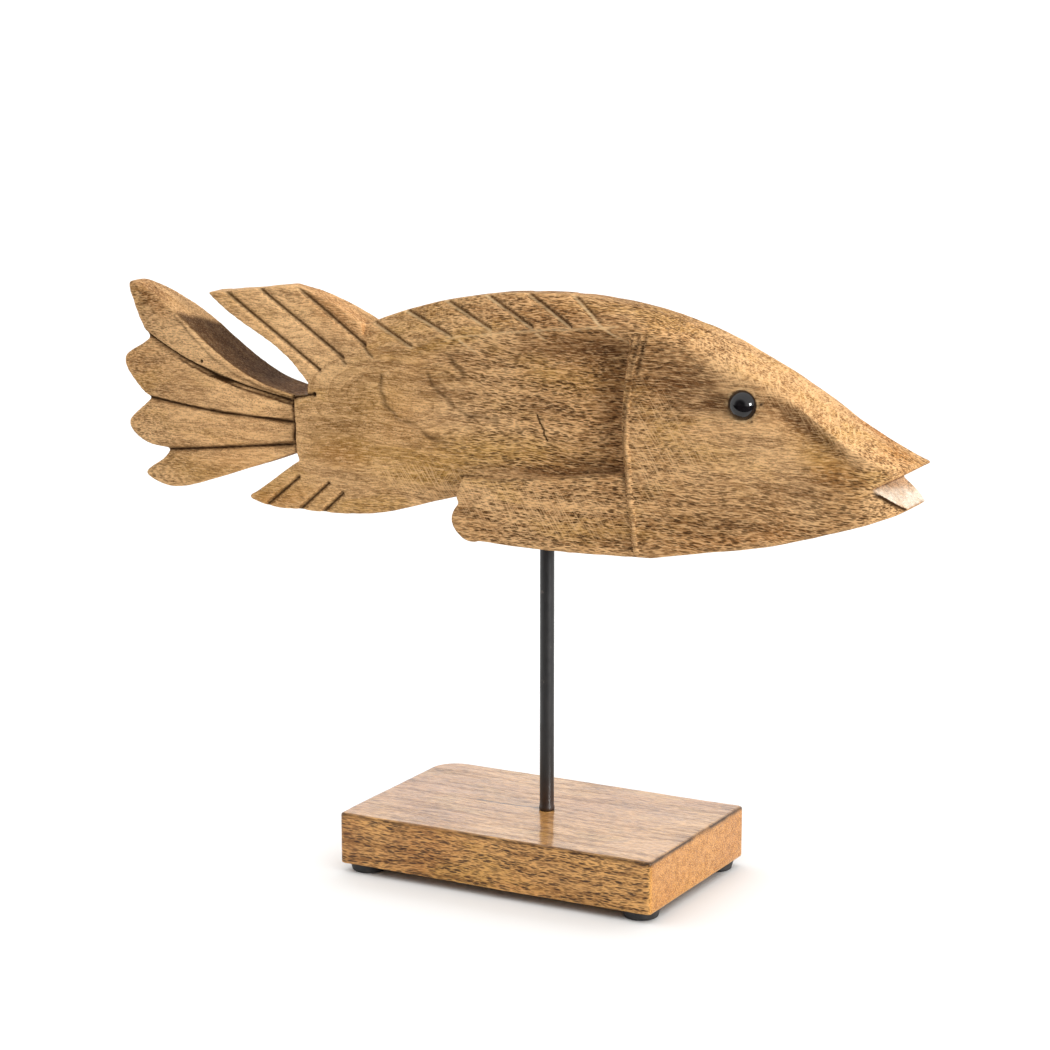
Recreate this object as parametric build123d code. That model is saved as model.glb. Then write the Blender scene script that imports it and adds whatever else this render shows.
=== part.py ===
from build123d import *
import os

os.makedirs("parts", exist_ok=True)

# Carved fish, lengths in millimetres
fish_length = 373.6
fish_height = 103.7
fish_thickness = 35.0
belly_height = 141.6
crest_thickness = 9.0
tail_thickness = 23.0
fin_base_thickness = 26.0
fin_edge_thickness = 8.0
vent_base_thickness = 27.0
vent_edge_thickness = 17.0
panel_depth = 5.0
bead_width = 2.8
bead_proud = 0.9
tail_groove_width = 2.6
tail_groove_depth = 2.0
fin_groove_width = 2.2
fin_groove_depth = 1.6
back_cut_width = 2.0
back_cut_depth = 1.3
groove_lift = 1.0

# Eye nails
eye_diameter = 12.2
eye_dome = 4.8
eye_seat_depth = 0.8
eye_shank_diameter = 2.4
eye_shank_length = 12.0
eye_point = 3.0
eye_clearance = 0.1

# Stand rod, with a reduced end below the base
rod_diameter = 6.0
rod_in_fish = 42.0
rod_offset = 2.2
rod_end_chamfer = 0.6
swivel_clearance = 0.05
stud_diameter = 5.0
stud_clearance = 0.05
stud_past_nut = 1.0

# Base block
base_length = 145.0
base_width = 89.0
base_height = 22.0
base_edge_round = 1.0
base_corner_round = 1.5
worn_corner_round = 12.0
counterbore_diameter = 15.0
counterbore_depth = 8.0

# Washer and nut under the base
washer_diameter = 10.0
washer_thickness = 1.0
nut_across_flats = 8.0
nut_height = 4.0

# Stuck-on rubber feet
foot_diameter = 16.0
foot_taper = 0.8
foot_height = 4.0
foot_inset_x = 8.6
foot_inset_y = 9.3

# How far a cutting shape runs past the wood that it cuts
overrun = 5.0

# Places along the fish (tail to nose) and up it (belly to back)
mid_share = 0.5
bead_chamfer_share = 0.8
halving_steps = 24
ray_steps = 6
rod_share = 0.555
eye_shares = (0.809, 0.649)

# Back and head seen from the side: the crest, and the line where the slope off it meets the flank
crest_shares = [(1.0, 0.461), (0.928, 0.579), (0.845, 0.751), (0.762, 0.894), (0.674, 0.973),
                (0.585, 1.0), (0.489, 0.977), (0.406, 0.916), (0.331, 0.818)]
ridge_shares = [(0.984, 0.430), (0.923, 0.534), (0.845, 0.713), (0.762, 0.843), (0.679, 0.920),
                (0.588, 0.884), (0.494, 0.838), (0.419, 0.761), (0.355, 0.679)]
crest_run_on_shares = (0.253, 0.698)
ridge_run_on_shares = (0.253, 0.544)
sky_share = 1.2
slope_reach_share = 1.15
slope_drop_share = 0.115

# Body outline after the crest: tail root, belly slab, throat and mouth
root_shares = [(0.302, 0.679), (0.267, 0.563), (0.267, 0.525), (0.247, 0.513), (0.250, 0.280),
               (0.256, 0.235), (0.457, 0.187), (0.462, 0.170), (0.465, 0.148)]
slab_end_shares = [(0.459, 0.123), (0.455, 0.082), (0.461, 0.032), (0.490, 0.003)]
slab_belly_shares = [(0.569, 0.0), (0.667, 0.012), (0.705, 0.018)]
throat_shares = [(0.789, 0.075), (0.872, 0.144), (0.936, 0.219), (0.979, 0.275)]
mouth_shares = [(0.990, 0.300), (0.956, 0.375), (1.0, 0.461)]

# Half thickness of the body seen from above, as shares of the full half thickness
body_plan_shares = [(0.24, 0.714), (0.334, 0.80), (0.468, 0.886), (0.575, 0.96), (0.682, 1.0),
                    (0.816, 1.0), (0.896, 0.983), (0.956, 0.937), (0.987, 0.60), (1.0, 0.20)]

# Tail fan: upper edge, four lobes and lower edge, and its half thickness from above
tail_top_shares = [(0.247, 0.514), (0.194, 0.563), (0.140, 0.671), (0.078, 0.827), (0.018, 0.923)]
tail_lobe_shares = [
    [(0.011, 0.920), (0.015, 0.847), (0.027, 0.762), (0.040, 0.694)],
    [(0.014, 0.636), (0.0, 0.595), (0.012, 0.514), (0.040, 0.438)],
    [(0.012, 0.354), (0.005, 0.322), (0.021, 0.260), (0.044, 0.238), (0.067, 0.232)],
    [(0.050, 0.166), (0.031, 0.112), (0.047, 0.082), (0.121, 0.113), (0.188, 0.195), (0.253, 0.284)],
]
tail_root_shares = [(0.275, 0.293), (0.275, 0.500)]
tail_plan_shares = [(-0.01, 0.30), (0.053, 0.70), (0.106, 0.957), (0.173, 1.0), (0.28, 1.0)]

# Back fin and vent fin
fin_low_shares = [(0.131, 0.873), (0.181, 0.776), (0.222, 0.703), (0.267, 0.577)]
fin_base_shares = [(0.280, 0.544), (0.339, 0.679), (0.331, 0.820)]
fin_front_shares = [(0.302, 0.877), (0.262, 0.930), (0.230, 0.953)]
fin_tip_shares = [(0.121, 0.900)]
fin_rise_shares = (0.63, 0.955)
vent_low_shares = [(0.180, 0.066), (0.190, 0.046), (0.243, 0.030), (0.307, 0.036), (0.371, 0.070),
                   (0.414, 0.118), (0.460, 0.168)]
vent_base_shares = [(0.460, 0.235), (0.280, 0.274), (0.250, 0.238), (0.187, 0.086)]
vent_rise_shares = (0.26, 0.033)

# Scooped flank between the back, the gill and the belly slab
panel_top_shares = [(0.334, 0.631), (0.393, 0.721), (0.478, 0.814), (0.588, 0.878), (0.676, 0.867)]
panel_gill_shares = [(0.672, 0.698), (0.669, 0.544), (0.672, 0.343)]
panel_slab_shares = [(0.588, 0.300), (0.470, 0.251), (0.461, 0.170), (0.446, -0.03), (0.334, -0.03),
                     (0.275, 0.30), (0.286, 0.419)]
panel_floor_shares = [(0.26, 0.70), (0.334, 0.88), (0.40, 0.98), (0.47, 0.96), (0.575, 0.90),
                      (0.64, 1.0), (0.69, 1.08)]
gill_shares = [(0.691, 0.891), (0.678, 0.724), (0.674, 0.544), (0.678, 0.322), (0.689, 0.023)]

# Grooves: start, middle and end of each tail ray, and start and end of each straight cut;
# a back cut's third share is its way out from the crest to the flank
tail_groove_shares = [
    [(0.030, 0.715), (0.144, 0.560), (0.246, 0.482)],
    [(0.030, 0.441), (0.146, 0.410), (0.248, 0.398)],
    [(0.055, 0.222), (0.160, 0.270), (0.250, 0.311)],
]
fin_groove_shares = [
    [(0.135, 0.931), (0.285, 0.627)],
    [(0.180, 0.955), (0.320, 0.669)],
    [(0.226, 0.980), (0.355, 0.708)],
]
back_cut_shares = [
    [(0.344, 0.830, 0.07), (0.406, 0.761, 0.87)],
    [(0.383, 0.890, 0.01), (0.456, 0.819, 0.88)],
    [(0.432, 0.944, -0.02), (0.508, 0.857, 0.92)],
    [(0.481, 0.982, -0.06), (0.560, 0.877, 0.95)],
    [(0.535, 0.996, -0.03), (0.608, 0.891, 0.98)],
    [(0.590, 1.005, -0.06), (0.640, 0.915, 0.92)],
]
vent_groove_shares = [
    [(0.203, 0.040), (0.253, 0.180)],
    [(0.244, 0.025), (0.292, 0.168)],
    [(0.275, 0.024), (0.309, 0.128)],
]


def along(share):
    return (share - mid_share) * fish_length


def up(share):
    return belly_height + share * fish_height


# Derived places
fish_half = fish_thickness / 2
crest_half = crest_thickness / 2
tail_half = tail_thickness / 2
rod_radius = rod_diameter / 2
stud_radius = stud_diameter / 2
rod_x = along(rod_share)
base_x = rod_x - rod_offset
base_top = foot_height + base_height
counterbore_top = foot_height + counterbore_depth
rod_top = belly_height + rod_in_fish


def side_points(shares, y):
    return [Vector(along(x), y, up(z)) for x, z in shares]


def side_face(runs, y=0.0):
    # A closed face seen from the side; each run starts where the one before it ends
    edges = []
    last = runs[-1][1][-1]
    for kind, shares in runs:
        points = side_points([last] + shares, y)
        curve = Spline(*points) if kind == "curve" else Polyline(*points)
        edges += curve.edges()
        last = shares[-1]
    return make_face(edges)


def through(runs):
    # The outline sawn through a plank thicker than the fish
    return extrude(side_face(runs), fish_half + overrun, dir=(0, 1, 0), both=True)


def plan_curve(shares, half):
    # One side of the outline seen from above
    return Spline(*[Vector(along(x), half * y, belly_height - overrun) for x, y in shares])


def plan_solid(shares, half):
    # The outline seen from above, alike on both sides, as tall as the fish and more
    left = plan_curve(shares, half)
    right = mirror(left, about=Plane.XZ)
    edges = left.edges() + right.edges() + Line(left @ 0, right @ 0).edges() + Line(left @ 1, right @ 1).edges()
    return extrude(make_face(edges), fish_height + 2 * overrun, dir=(0, 0, 1))


def half_at(curve, x):
    # Half thickness of the wood at a place along the fish
    low, high = 0.0, 1.0
    for _ in range(halving_steps):
        middle = (low + high) / 2
        if (curve @ middle).X < x:
            low = middle
        else:
            high = middle
    return (curve @ low).Y


def tapered_plank(base_thickness, edge_thickness, rise_shares):
    # A plank along the fish that thins from a fin's base to its edge, and runs past the edge
    base_z = up(rise_shares[0])
    edge_z = up(rise_shares[1])
    base_half = base_thickness / 2
    past = (edge_z - base_z) / abs(edge_z - base_z) * overrun
    slope = (edge_thickness - base_thickness) / 2 / (edge_z - base_z)
    tip_half = edge_thickness / 2 + slope * past
    root_z = base_z - past * fish_height / overrun
    profile = [(base_half, root_z), (base_half, base_z), (tip_half, edge_z + past)]
    points = [Vector(along(0) - overrun, y, z) for y, z in profile]
    points += [Vector(p.X, -p.Y, p.Z) for p in reversed(points)]
    face = make_face(Polyline(*points, close=True).edges())
    return extrude(face, fish_length + 2 * overrun, dir=(1, 0, 0))


def fin_half(base_thickness, edge_thickness, rise_shares, z_share):
    # Half thickness of such a plank at a height
    part = (z_share - rise_shares[0]) / (rise_shares[1] - rise_shares[0])
    return (base_thickness + (edge_thickness - base_thickness) * max(part, 0)) / 2


def both_sides(shape):
    return [shape, mirror(shape, about=Plane.XZ)]


def v_groove(points, width, depth, out):
    # A V cut along a line or a curve on a surface that faces the way of out
    path = Line(*points) if len(points) == 2 else Spline(*points)
    tangent = path % 0
    plane = Plane(origin=path @ 0, x_dir=tangent.cross(out), z_dir=tangent)
    mouth = width / 2 * (1 + groove_lift / depth)
    corners = [(-mouth, groove_lift), (mouth, groove_lift), (0, -depth)]
    section = plane * make_face(Polyline(*corners, close=True).edges())
    return sweep(section, path=path)


def body():
    runs = [("curve", crest_shares[1:]), ("straight", root_shares), ("curve", slab_end_shares),
            ("curve", slab_belly_shares), ("curve", throat_shares), ("straight", mouth_shares)]
    return through(runs) & plan_solid(body_plan_shares, fish_half)


def back_slope():
    # What the carver takes off one side of the back and head, from the crest down to the flank
    reach = [(c[0] + (r[0] - c[0]) * slope_reach_share, c[1] + (r[1] - c[1]) * slope_reach_share)
             for c, r in zip(crest_shares + [crest_run_on_shares], ridge_shares + [ridge_run_on_shares])]
    sections = []
    for shares, y in [(crest_shares + [crest_run_on_shares], crest_half),
                      (reach, crest_half + (fish_half - crest_half) * slope_reach_share)]:
        sky = [shares[-1], (shares[-1][0], sky_share), (sky_share, sky_share), (sky_share, shares[0][1]), shares[0]]
        sections.append(side_face([("curve", shares[1:-1]), ("straight", sky)], y))
    return loft(sections, ruled=True)


def tail():
    runs = [("curve", tail_top_shares)]
    runs += [("curve", lobe) for lobe in tail_lobe_shares]
    runs += [("straight", tail_root_shares)]
    return through(runs) & plan_solid(tail_plan_shares, tail_half)


def back_fin():
    runs = [("curve", fin_low_shares), ("straight", fin_base_shares), ("curve", fin_front_shares),
            ("straight", fin_tip_shares)]
    return through(runs) & tapered_plank(fin_base_thickness, fin_edge_thickness, fin_rise_shares)


def vent_fin():
    runs = [("curve", vent_low_shares), ("straight", vent_base_shares)]
    return through(runs) & tapered_plank(vent_base_thickness, vent_edge_thickness, vent_rise_shares)


def flank_scoop():
    # The hollow behind the gill, bounded by the back, the gill and the belly slab
    runs = [("curve", panel_top_shares), ("curve", panel_gill_shares), ("straight", panel_slab_shares)]
    floor = [Vector(along(x), fish_half - panel_depth * d, belly_height - overrun) for x, d in panel_floor_shares]
    out = fish_half + overrun
    rim = Polyline(floor[-1], Vector(floor[-1].X, out, floor[-1].Z), Vector(floor[0].X, out, floor[0].Z), floor[0])
    above_floor = extrude(make_face(Spline(*floor).edges() + rim.edges()), fish_height + 2 * overrun, dir=(0, 0, 1))
    return through(runs) & above_floor


def gill_bead():
    # A narrow raised bead from the back to the belly
    reach = bead_width / 2
    middle = side_points(gill_shares, 0.0)
    front = [Vector(p.X + reach, p.Y, p.Z) for p in middle]
    rear = [Vector(p.X - reach, p.Y, p.Z) for p in reversed(middle)]
    edges = Spline(*front).edges() + Line(front[-1], rear[0]).edges()
    edges += Spline(*rear).edges() + Line(rear[-1], front[0]).edges()
    strip = extrude(make_face(edges), fish_half + bead_proud, dir=(0, 1, 0))
    top = strip.faces().sort_by(Axis.Y)[-1]
    return chamfer(top.edges(), bead_proud * bead_chamfer_share)


def grooves():
    # Ray cuts of tail and fins, and the short slanting cuts along the back, on one side
    cuts = []
    flank = Vector(0, 1, 0)
    slope = Vector(0, fish_height * slope_drop_share, fish_half - crest_half)
    tail_curve = plan_curve(tail_plan_shares, tail_half)
    for shares in tail_groove_shares:
        ray = ThreePointArc(*side_points(shares, 0.0))
        flat = [ray @ (step / ray_steps) for step in range(ray_steps + 1)]
        points = [Vector(p.X, half_at(tail_curve, p.X), p.Z) for p in flat]
        cuts.append(v_groove(points, tail_groove_width, tail_groove_depth, flank))
    for shares in fin_groove_shares:
        points = [Vector(along(x), fin_half(fin_base_thickness, fin_edge_thickness, fin_rise_shares, z), up(z))
                  for x, z in shares]
        cuts.append(v_groove(points, fin_groove_width, fin_groove_depth, flank))
    for shares in vent_groove_shares:
        points = [Vector(along(x), fin_half(vent_base_thickness, vent_edge_thickness, vent_rise_shares, z), up(z))
                  for x, z in shares]
        cuts.append(v_groove(points, fin_groove_width, fin_groove_depth, flank))
    for shares in back_cut_shares:
        points = [Vector(along(x), crest_half + (fish_half - crest_half) * out, up(z)) for x, z, out in shares]
        cuts.append(v_groove(points, back_cut_width, back_cut_depth, slope))
    return cuts


def eye_place():
    # Centre of the eye's seat on the left flank
    return Vector(along(eye_shares[0]), fish_half - eye_seat_depth, up(eye_shares[1]))


def eye_seat():
    # Flat seat for the eye's head, with a hole for its shank
    plane = Plane(origin=eye_place(), z_dir=(0, 1, 0))
    seat = extrude(plane * Circle(eye_diameter / 2 + eye_clearance), overrun)
    hole = extrude(plane * Circle(eye_shank_diameter / 2 + eye_clearance), -(eye_shank_length + eye_clearance))
    return seat + hole


def fish():
    wood = body() - both_sides(back_slope())
    wood = wood + [tail(), back_fin(), vent_fin()]
    wood = wood - both_sides(flank_scoop())
    wood = wood + both_sides(gill_bead())
    for cut in grooves() + [eye_seat()]:
        wood = wood - both_sides(cut)
    bore = Plane(origin=(rod_x, 0, rod_top)) * Circle(rod_radius + swivel_clearance)
    return wood - extrude(bore, -(rod_in_fish + overrun))


def eye():
    # Domed nail: head, shank and point, turned about its axis and set in the left flank
    head_radius = eye_diameter / 2
    shank_radius = eye_shank_diameter / 2
    neck = eye_shank_length - eye_point
    dome = TangentArc((0, eye_dome), (head_radius, 0), tangent=(1, 0))
    under = Polyline((head_radius, 0), (shank_radius, 0), (shank_radius, -neck), (0, -eye_shank_length), (0, eye_dome))
    profile = Plane.XZ * make_face(dome.edges() + under.edges())
    return Plane(origin=eye_place(), z_dir=(0, 1, 0)) * revolve(profile, Axis.Z)


def rod():
    # Round rod with a reduced end that goes through the base
    stud_end = counterbore_top - washer_thickness - nut_height - stud_past_nut
    stud = Plane(origin=(rod_x, 0, stud_end)) * extrude(Circle(stud_radius), base_top - stud_end)
    bar = Plane(origin=(rod_x, 0, base_top)) * extrude(Circle(rod_radius), rod_top - base_top)
    bar = chamfer(bar.edges().sort_by(Axis.Z)[-1], rod_end_chamfer)
    return bar + stud


def base():
    centre = Vector(base_x, 0, foot_height)
    rod_foot = Plane(origin=(rod_x, 0, foot_height))
    block = Plane(origin=centre) * extrude(Rectangle(base_length, base_width), base_height)
    corners = block.edges().filter_by(Axis.Z).sort_by(lambda e: e.center().X - e.center().Y)
    worn = corners[0]
    block = fillet(worn, worn_corner_round)
    others = [e for e in block.edges().filter_by(Axis.Z) if e.center().X > centre.X or e.center().Y < 0]
    block = fillet(others, base_corner_round)
    block = fillet(block.faces().sort_by(Axis.Z)[-1].edges(), base_edge_round)
    recess = rod_foot * extrude(Circle(counterbore_diameter / 2), counterbore_depth)
    hole = rod_foot * extrude(Circle(stud_radius + stud_clearance), base_height)
    return block - [recess, hole]


def foot_places():
    # Foot centres on the table, by name
    dx = base_length / 2 - foot_inset_x
    dy = base_width / 2 - foot_inset_y
    return {"rear_right_foot": (base_x - dx, -dy), "front_right_foot": (base_x + dx, -dy),
            "rear_left_foot": (base_x - dx, dy), "front_left_foot": (base_x + dx, dy)}


def foot(place):
    # Rubber disc, wider where it is stuck to the base
    radius = foot_diameter / 2
    disc = loft([Circle(radius - foot_taper), Plane.XY.offset(foot_height) * Circle(radius)])
    return Pos(*place) * disc


def washer():
    ring = Circle(washer_diameter / 2) - Circle(stud_radius + stud_clearance)
    return Plane(origin=(rod_x, 0, counterbore_top - washer_thickness)) * extrude(ring, washer_thickness)


def nut():
    hexagon = RegularPolygon(nut_across_flats / 2, 6, major_radius=False) - Circle(stud_radius + stud_clearance)
    low = counterbore_top - washer_thickness - nut_height
    return Plane(origin=(rod_x, 0, low)) * extrude(hexagon, nut_height)


left_eye = eye()
nodes = {"fish_carving": fish(), "left_eye": left_eye, "right_eye": mirror(left_eye, about=Plane.XZ),
         "stand_rod": rod(), "base_block": base(), "rod_washer": washer(), "rod_nut": nut()}
nodes.update({name: foot(place) for name, place in foot_places().items()})
for name, shape in nodes.items():
    export_step(shape, f"parts/{name}.step")
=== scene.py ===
import math
import bmesh
import bpy
import numpy as np
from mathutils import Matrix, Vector, noise


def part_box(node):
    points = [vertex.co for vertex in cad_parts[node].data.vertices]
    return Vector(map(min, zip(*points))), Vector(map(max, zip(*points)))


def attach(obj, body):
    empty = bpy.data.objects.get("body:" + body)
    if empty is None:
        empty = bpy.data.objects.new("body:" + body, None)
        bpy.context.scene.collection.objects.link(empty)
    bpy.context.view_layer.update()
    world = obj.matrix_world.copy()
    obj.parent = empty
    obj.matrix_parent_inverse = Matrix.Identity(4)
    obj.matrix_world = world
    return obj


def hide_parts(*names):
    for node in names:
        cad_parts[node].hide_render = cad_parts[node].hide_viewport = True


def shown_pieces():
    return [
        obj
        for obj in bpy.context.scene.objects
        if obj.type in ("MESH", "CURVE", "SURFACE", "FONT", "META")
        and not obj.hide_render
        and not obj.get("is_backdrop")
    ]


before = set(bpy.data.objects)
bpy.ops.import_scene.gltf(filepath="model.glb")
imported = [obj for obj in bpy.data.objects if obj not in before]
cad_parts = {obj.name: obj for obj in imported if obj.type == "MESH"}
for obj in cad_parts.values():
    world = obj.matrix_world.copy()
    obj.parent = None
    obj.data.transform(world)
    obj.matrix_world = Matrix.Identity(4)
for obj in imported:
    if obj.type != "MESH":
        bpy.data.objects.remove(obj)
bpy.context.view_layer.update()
mm = 0.001
weld = 0.001 * mm  # points closer than this are one
softStep = {"interpolation_type": "SMOOTHSTEP"}  # a map range with soft ends
colourMix = {"data_type": "RGBA"}  # a mix whose inputs 6 and 7 and output 2 are colours


def linear(hexCode):  # sRGB hex to linear RGBA
    parts = [int(hexCode[i:i + 2], 16) / 255 for i in (1, 3, 5)]
    return [p / 12.92 if p <= 0.04045 else ((p + 0.055) / 1.055) ** 2.4 for p in parts] + [1.0]


def addNode(tree, kind, inputs=(), out=0, **settings):  # one node with its settings and links
    node = tree.nodes.new("ShaderNode" + kind)
    for key, value in settings.items():
        setattr(node, key, value)
    for key, value in inputs.items() if isinstance(inputs, dict) else enumerate(inputs):
        if isinstance(value, bpy.types.NodeSocket):
            tree.links.new(value, node.inputs[key])
        else:
            node.inputs[key].default_value = linear(value) if isinstance(value, str) else value
    return node.outputs[out] if len(node.outputs) else node


def newMaterial(name):  # an empty material with its shader and output
    material = bpy.data.materials.new(name)
    material.use_nodes = True
    tree = material.node_tree
    tree.nodes.clear()
    surface = addNode(tree, "BsdfPrincipled")
    addNode(tree, "OutputMaterial", [surface])
    return material, tree, surface.node.inputs


def perSize(*sizes):  # scale factors for a pattern with these sizes in millimetres
    return [1 / (size * mm) for size in sizes]


def newPiece(name, mesh, material, body, slot, *nodes):
    piece = bpy.data.objects.new(name, mesh)
    bpy.context.scene.collection.objects.link(piece)
    mesh.materials.clear()
    mesh.materials.append(material)
    mesh.polygons.foreach_set("use_smooth", [True] * len(mesh.polygons))
    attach(piece, body)
    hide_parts(*nodes)
    return piece


def boxOf(node):  # lowest and highest corner of a node in millimetres
    return [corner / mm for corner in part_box(node)]


def spin(profile, segments, place, axis=(0, 0, 1)):  # turns radii and heights in millimetres into a mesh
    turned = bmesh.new()
    rings = []
    for radius, height in profile:
        if radius == 0:
            rings.append([turned.verts.new((0, 0, height * mm))])
            continue
        angles = [2 * math.pi * i / segments for i in range(segments)]
        corners = [(radius * math.cos(a), radius * math.sin(a), height) for a in angles]
        rings.append([turned.verts.new(Vector(corner) * mm) for corner in corners])
    for low, high in zip(rings, rings[1:]):
        for i in range(segments):
            j = (i + 1) % segments
            corners = [low[i % len(low)], low[j % len(low)], high[j % len(high)], high[i % len(high)]]
            turned.faces.new(dict.fromkeys(corners))
    bmesh.ops.remove_doubles(turned, verts=turned.verts, dist=weld)
    turn = Vector((0, 0, 1)).rotation_difference(Vector(axis)).to_matrix().to_4x4()
    bmesh.ops.transform(turned, matrix=turn, verts=turned.verts)
    bmesh.ops.translate(turned, vec=Vector(place) * mm, verts=turned.verts)
    bmesh.ops.recalc_face_normals(turned, faces=turned.faces)
    mesh = bpy.data.meshes.new("turned")
    turned.to_mesh(mesh)
    turned.free()
    return mesh


def remeshed(node, voxel):  # a node's solid as an even skin that can be carved
    skin = bmesh.new()
    skin.from_mesh(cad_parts[node].data)
    bmesh.ops.remove_doubles(skin, verts=skin.verts, dist=weld)
    mesh = bpy.data.meshes.new(node + "Skin")
    skin.to_mesh(mesh)
    skin.free()
    block = bpy.data.objects.new(node + "Block", mesh)
    bpy.context.scene.collection.objects.link(block)
    modifier = block.modifiers.new("skin", "REMESH")
    modifier.mode = "VOXEL"
    modifier.voxel_size = voxel * mm
    bpy.context.view_layer.update()
    even = bpy.data.meshes.new_from_object(block.evaluated_get(bpy.context.evaluated_depsgraph_get()))
    bpy.data.objects.remove(block)
    bpy.data.meshes.remove(mesh)
    return even


def readMesh(mesh):  # points in millimetres and the edges that join them
    points = np.empty(len(mesh.vertices) * 3, np.float32)
    mesh.vertices.foreach_get("co", points)
    edges = np.empty(len(mesh.edges) * 2, np.int32)
    mesh.edges.foreach_get("vertices", edges)
    return points.reshape(-1, 3).astype(float) / mm, edges.reshape(-1, 2)


def writeMesh(mesh, points):  # moves the points and gives back the new normals
    mesh.vertices.foreach_set("co", (points * mm).astype(np.float32).ravel())
    mesh.update()
    normals = np.empty(len(points) * 3, np.float32)
    mesh.vertex_normals.foreach_get("vector", normals)
    return normals.reshape(-1, 3).astype(float)


def relaxed(points, edges, rounds, share=0.5):  # each point drifts towards the middle of its neighbours
    count = len(points)
    share = np.broadcast_to(np.asarray(share, float), (count,))
    edges = edges[(share[edges] > 0).any(axis=1)]
    ends = edges.T.ravel()
    others = edges[:, ::-1].T.ravel()
    many = np.maximum(np.bincount(ends, minlength=count), 1)
    moved = points.copy()
    for _ in range(rounds):
        for k in range(moved.shape[1]):
            column = moved[:, k]
            moved[:, k] = column + share * (np.bincount(ends, column[others], count) / many - column)
    return moved


def softened(values, edges, rounds):  # spreads the points' values over their neighbours
    return relaxed(np.asarray(values, float)[:, None], edges, rounds)[:, 0]


def bendOf(points, edges, normals):  # above 0 in a groove, below 0 on an edge
    return ((relaxed(points, edges, 5) - points) * normals).sum(1)


def waves(points, size, seed):  # smooth noise over a size in millimetres
    offset = Vector((seed * 17.3, seed * 5.1, seed * 9.7))
    return np.array([noise.noise(Vector(p) / size + offset) for p in points])


def uneven(points, size, seed, mean, swing=1.0, least=0.0, most=1.0):  # a strength that comes and goes
    return np.clip(mean + swing * waves(points, size, seed), least, most)


def shaken(points, drift, size, seed):  # points put off a little, so that a line through them wavers
    return points + drift * waves(points, size, seed)[:, None]


def smooth(values):  # 0 to 1 with soft ends
    t = np.clip(values, 0, 1)
    return t * t * (3 - 2 * t)


def patch(points, x, z, wide, tall, tilt, most=1.0):  # a soft oval on the flank, strongest in its middle
    c, s = math.cos(math.radians(tilt)), math.sin(math.radians(tilt))
    along = ((points[:, 0] - x) * c + (points[:, 2] - z) * s) / wide
    across = ((points[:, 2] - z) * c - (points[:, 0] - x) * s) / tall
    return most * np.exp(-(along ** 2 + across ** 2))


def toLine(points, line):  # distance on the flank to a line of x, z corners
    near = np.full(len(points), np.inf)
    for start, end in zip(line, line[1:]):
        run = np.subtract(end, start)
        part = points[:, [0, 2]] - start
        t = np.clip(part @ run / (run @ run), 0, 1)
        near = np.minimum(near, np.linalg.norm(part - t[:, None] * run, axis=1))
    return near


def nearest(points, lines):  # distance on the flank to the nearest of some lines
    return np.min([toLine(points, line) for line in lines], axis=0)


def stroke(distance, wide, most=1.0):  # strongest on a line, fading over its half width
    return most * np.exp(-(distance / wide) ** 2)


def keep(mesh, name, values):  # a value at each point, for the material
    mesh.attributes.new(name, "FLOAT", "POINT").data.foreach_set("value", values.astype(np.float32))


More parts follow.
